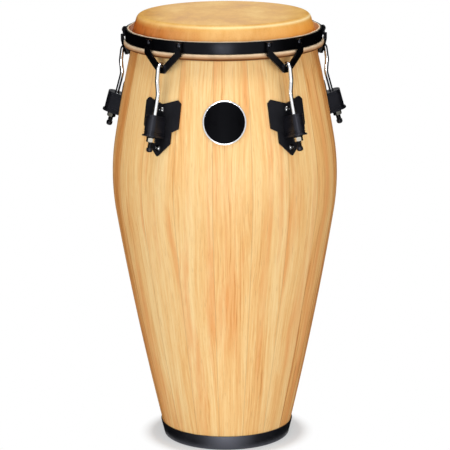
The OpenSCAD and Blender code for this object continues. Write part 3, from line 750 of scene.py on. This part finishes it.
def hook_path():
    """Axis of a hook (r, z), from its point over the bracket and down to its thread."""
    middle = HOOP[0] - RIM_INSET + RIM_T + TAB_T + BRACKET_T / 2
    shift = TRAVEL * math.tan(ROD_TILT) / 2
    drop = HOOK_BEND - math.sqrt(HOOK_BEND**2 - (BRACKET_T / 2 + shift) ** 2)
    top = RIM_LOW - CROTCH_DROP + (HOOK_D / 2 + FIT_GAP) / math.sin(CROTCH_SLOPE) + drop
    centre = (middle + shift, top - HOOK_BEND)
    lower = on_rod((DRUM_H - LOWER_BEND_DROP - BLOCK_Z) / math.cos(ROD_TILT))
    upper = (lower[0] + SHANK_BOW, DRUM_H - UPPER_BEND_DROP)
    dx, dz = upper[0] - centre[0], upper[1] - centre[1]
    leave = math.degrees(math.atan2(dz, dx) + math.acos(HOOK_BEND / math.hypot(dx, dz)))
    over = arc(centre, HOOK_BEND, 180, leave, pitch=6)
    path = [(centre[0] - HOOK_BEND, centre[1] - HOOK_POINT)] + over
    path += bent(over[-1], upper, lower, SHANK_BEND) + bent(upper, lower, on_rod(0), SHANK_BEND)
    return path + [on_rod(THREAD_INSIDE - THREAD_LAP)]


def thread(angle):
    """Vertices and faces of a rod's threaded end: one ridge that winds round it."""
    rings = int((THREAD_BELOW + THREAD_INSIDE) / THREAD_PITCH * THREAD_RINGS)
    verts = []
    for k in range(rings + 1):
        from_tip = k * THREAD_PITCH / THREAD_RINGS
        along = -THREAD_BELOW + from_tip
        tip = max(0.0, min(1.0, from_tip / TIP_LENGTH))
        most = THREAD_D / 2 - TIP_ROUND * (1 - math.sqrt(1 - (1 - tip) ** 2))
        r0, z0 = on_rod(along)
        for s in range(THREAD_SIDES):
            t = 2 * math.pi * s / THREAD_SIDES
            turn = (along / THREAD_PITCH - s / THREAD_SIDES) % 1
            ridge = min(1.0, max(0.0, RIDGE_SLOPE * abs(turn - 0.5) * 2 - RIDGE_CUT))
            r = min(most, THREAD_D / 2 - THREAD_DEPTH + THREAD_DEPTH * ridge)
            out, right = r * math.cos(t), r * math.sin(t)
            x, z = r0 + out * math.cos(ROD_TILT), z0 + out * math.sin(ROD_TILT)
            verts.append(turned(angle, x, right, z))
    return verts, tube_faces(rings + 1, THREAD_SIDES)


def build_hooks():
    """Hooks, each a rod with a threaded end."""
    path = hook_path()
    for i, angle in enumerate(LUG_ANGLES, 1):
        body = f"hook_{i}"
        verts, faces = swept(path, HOOK_D / 2, angle)
        hook = make(
            f"hook_rod_{i}", verts, faces, CHROME, body, [f"tension_hook_{i}"])
        sharpen(hook, 60)
        verts, faces = thread(angle)
        make(f"hook_thread_{i}", verts, faces, OXIDE, body)


# Carried-over pieces: their own shape, eased edges and a finish

WELD, FLAT_ANGLE, EASE_ANGLE = 0.000002, math.radians(0.8), math.radians(30)


def ease(name, finish, width):
    """Gives a CAD node its material, smooth shading and, by modifiers, edges eased by a width.

    Its vertices and faces stay as they are. Its own normals go, so that the modifiers' show.
    """
    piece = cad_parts[name]
    piece.data.materials.clear()
    piece.data.materials.append(finish)
    weld = piece.modifiers.new("weld", "WELD")
    weld.merge_threshold = WELD
    flat = piece.modifiers.new("flat", "DECIMATE")
    flat.decimate_type = "DISSOLVE"
    flat.angle_limit = FLAT_ANGLE
    if width:
        bevel = piece.modifiers.new("ease", "BEVEL")
        bevel.width = width * MM
        bevel.segments = 2
        bevel.limit_method = "ANGLE"
        bevel.angle_limit = EASE_ANGLE
        bevel.use_clamp_overlap = True
    if "custom_normal" in piece.data.attributes:
        piece.data.attributes.remove(piece.data.attributes["custom_normal"])
    piece.data.shade_smooth()
    even = piece.modifiers.new("even", "WEIGHTED_NORMAL")
    even.weight = 80
    even.keep_sharp = True


build_staves()
build_skin()
build_rim()
build_foot()
build_hooks()
for i in range(1, len(LUG_ANGLES) + 1):
    ease(f"side_plate_{i}", SATIN, 0.5)
    ease(f"lug_block_{i}", MOULDED, 0.35)
    ease(f"bracket_{i}", COAT, 0.5)
    ease(f"tension_nut_{i}", NUT_METAL_AND_REFLECTION, 0.25)
    ease(f"nut_washer_{i}", OXIDE, 0.2)
    ease(f"backing_plate_{i}", ZINC, 0.3)
    ease(f"rod_cap_{i}", MOULDED, 0.3)
ease("plate_bolts", GLOSS, 0.2)
ease("plate_nuts", ZINC, 0.2)
ease("bracket_rivets", STUD, 0.2)
ease("flesh_ring", ZINC, 0)
ease("badge_plate", ENAMEL, 0.2)
ease("badge_bezel", CHROME, 0.35)


# Stage, light and camera, in metres

FLOOR_HALF, FLOOR_DROP = 12.0, 0.0004
FLOOR_GREY = (0.86, 0.86, 0.86, 1)
# The floor shows as white, less so within these distances from the middle, to keep the shadow
SHADOW_REACH, SHADOW_WHITE = (0.10, 0.15), 0.45
WORLD_LIGHT = 0.2  # strength of the white world as a light

# Black cards: name, side, section (r, z), and the angles from the front where the card begins and
# where it is fully black
LOW_CARD, WALL_CARD = [(0.112, 0.001), (0.6, 0.25)], [(0.6, 0.25), (0.6, 1.6)]
CARDS = (
    ("flag_low_left", -1, LOW_CARD, 4, 30), ("flag_low_right", 1, LOW_CARD, 4, 30),
    ("flag_left", -1, WALL_CARD, 50, 58), ("flag_right", 1, WALL_CARD, 50, 58),
)
CARD_END, CARD_PITCH = 168, 4.0

# Camera as fitted to the photo: the picture's width, focal length and middle in pixels
PHOTO_PX, FOCAL_PX, MIDDLE_PX = 450, 2382, (225.226, 226.026)
SENSOR_MM = 36.0
CAMERA_ELEVATION, CAMERA_ROLL = math.radians(13.647), math.radians(0.425)
CAMERA_DISTANCE, CAMERA_AIM = 3.946, (0, 0, 0.355)


def bare_material(name):
    """Material with no nodes yet."""
    mat = bpy.data.materials.new(name)
    mat.use_nodes = True
    mat.node_tree.nodes.clear()
    return mat, mat.node_tree


def seen(tree):
    """1 where the background is seen, directly or in metal or glass, and 0 where it only lights."""
    ray = node(tree, "ShaderNodeLightPath").outputs
    direct = maths(tree, "MAXIMUM", ray["Is Camera Ray"], ray["Is Glossy Ray"])
    return maths(tree, "MAXIMUM", direct, ray["Is Transmission Ray"])


def mixed_output(tree, kind, fac, a, b):
    """Output of two shaders mixed."""
    both = node(tree, "ShaderNodeMixShader", {0: fac, 1: a.outputs[0], 2: b.outputs[0]})
    node(tree, kind, {"Surface": both.outputs[0]})


def build_stage():
    """White floor that keeps the drum's shadow."""
    mesh = bpy.data.meshes.new("floor")
    corners = [(-1, -1), (1, -1), (1, 1), (-1, 1)]
    mesh.from_pydata([(x * FLOOR_HALF, y * FLOOR_HALF, 0) for x, y in corners], [], [[0, 1, 2, 3]])
    floor = link("floor", mesh)
    floor.location.z = -FLOOR_DROP
    mat, tree = bare_material("floor")
    far = length(tree, node(tree, "ShaderNodeNewGeometry").outputs["Position"])
    away = spread(tree, far, over=SHADOW_REACH, to=(0.0, 1.0), how="SMOOTHSTEP")
    lit = maths(tree, "MULTIPLY", seen(tree), maths(tree, "MAXIMUM", away, SHADOW_WHITE))
    matte = node(tree, "ShaderNodeBsdfDiffuse", {"Color": FLOOR_GREY})
    white = node(tree, "ShaderNodeEmission", {"Color": WHITE, "Strength": 1.0})
    mixed_output(tree, "ShaderNodeOutputMaterial", lit, matte, white)
    mesh.materials.append(mat)


def build_flags():
    """Black cards at the sides, seen in reflections alone.

    They give the chrome and the black coats their dark edges.
    """
    mat, tree = bare_material("flag")
    clear = node(tree, "ShaderNodeBsdfTransparent", {"Color": WHITE})
    black = node(tree, "ShaderNodeBsdfDiffuse", {"Color": (0, 0, 0, 1)})
    mixed_output(tree, "ShaderNodeOutputMaterial", attribute(tree, "dark"), clear, black)
    for name, side, section, first, full in CARDS:
        angles = steps(first, CARD_END, CARD_PITCH)
        verts = [
            (side * r * math.sin(math.radians(a)), -r * math.cos(math.radians(a)), z)
            for a in angles for r, z in section
        ]
        faces = [[i, i + 1, i + 3, i + 2] for i in range(0, len(verts) - 2, 2)]
        mesh = bpy.data.meshes.new(name)
        mesh.from_pydata(verts, [], faces)
        mesh.materials.append(mat)
        dark = mesh.attributes.new("dark", "FLOAT", "POINT").data
        for i, a in enumerate(angles):
            dark[2 * i].value = dark[2 * i + 1].value = min(1.0, (a - first) / (full - first))
        flag = link(name, mesh)
        flag.visible_camera = flag.visible_diffuse = False
        flag.visible_shadow = flag.visible_transmission = False


def build_world():
    """White where it is seen, and dim as a light."""
    world = bpy.data.worlds.new("studio")
    bpy.context.scene.world = world
    world.use_nodes = True
    tree = world.node_tree
    tree.nodes.clear()
    dim = node(tree, "ShaderNodeBackground", {"Color": WHITE, "Strength": WORLD_LIGHT})
    white = node(tree, "ShaderNodeBackground", {"Color": WHITE, "Strength": 1.0})
    mixed_output(tree, "ShaderNodeOutputWorld", seen(tree), dim, white)


def lamp(name, azimuth, elevation, distance, size, power, aim=(0, 0, 0.42)):
    """Area lamp at angles in degrees from what it is aimed at, with its size across and up."""
    data = bpy.data.lights.new(name, "AREA")
    data.shape = "RECTANGLE"
    data.size, data.size_y = size
    data.energy = power
    a, e = math.radians(azimuth), math.radians(elevation)
    back = Vector((math.sin(a) * math.cos(e), -math.cos(a) * math.cos(e), math.sin(e)))
    made = link(name, data)
    made.location = Vector(aim) + back * distance
    made.rotation_euler = (-back).to_track_quat("-Z", "Y").to_euler()
    return made


def build_lamps():
    """Soft light from the front, the top and both sides, and a strip that lights gloss alone."""
    lamp("front", -2, elevation=7, distance=2.6, size=(0.8, 2.5), power=11)
    strip = lamp("strip", -1, elevation=-3, distance=2.6, size=(0.3, 0.5), power=24)
    strip.visible_diffuse = False
    lamp("top", 10, elevation=78, distance=2.0, size=(1.4, 0.6), power=31, aim=(0, 0, 0.7))
    for name, azimuth in (("side_left", -48), ("side_right", 48)):
        side = lamp(
            name, azimuth, elevation=3, distance=2.6, size=(2.0, 1.5), power=32.5, aim=(0, 0, 0.3))
        side.visible_glossy = False


def build_camera():
    """Camera at the photo's viewing angle."""
    data = bpy.data.cameras.new("camera")
    data.sensor_width = SENSOR_MM
    data.lens = FOCAL_PX / PHOTO_PX * SENSOR_MM
    data.shift_x = (PHOTO_PX / 2 - MIDDLE_PX[0]) / PHOTO_PX
    data.shift_y = (MIDDLE_PX[1] - PHOTO_PX / 2) / PHOTO_PX
    data.clip_start, data.clip_end = 0.1, 60
    cam = link("camera", data)
    back = Vector((0, -math.cos(CAMERA_ELEVATION), math.sin(CAMERA_ELEVATION)))
    cam.location = Vector(CAMERA_AIM) + back * CAMERA_DISTANCE
    level = (-back).to_track_quat("-Z", "Y").to_matrix()
    cam.rotation_euler = (level @ Matrix.Rotation(-CAMERA_ROLL, 3, "Z")).to_euler()
    bpy.context.scene.camera = cam


build_stage()
build_flags()
build_world()
build_lamps()
build_camera()
bpy.context.scene.view_settings.view_transform = "Standard"
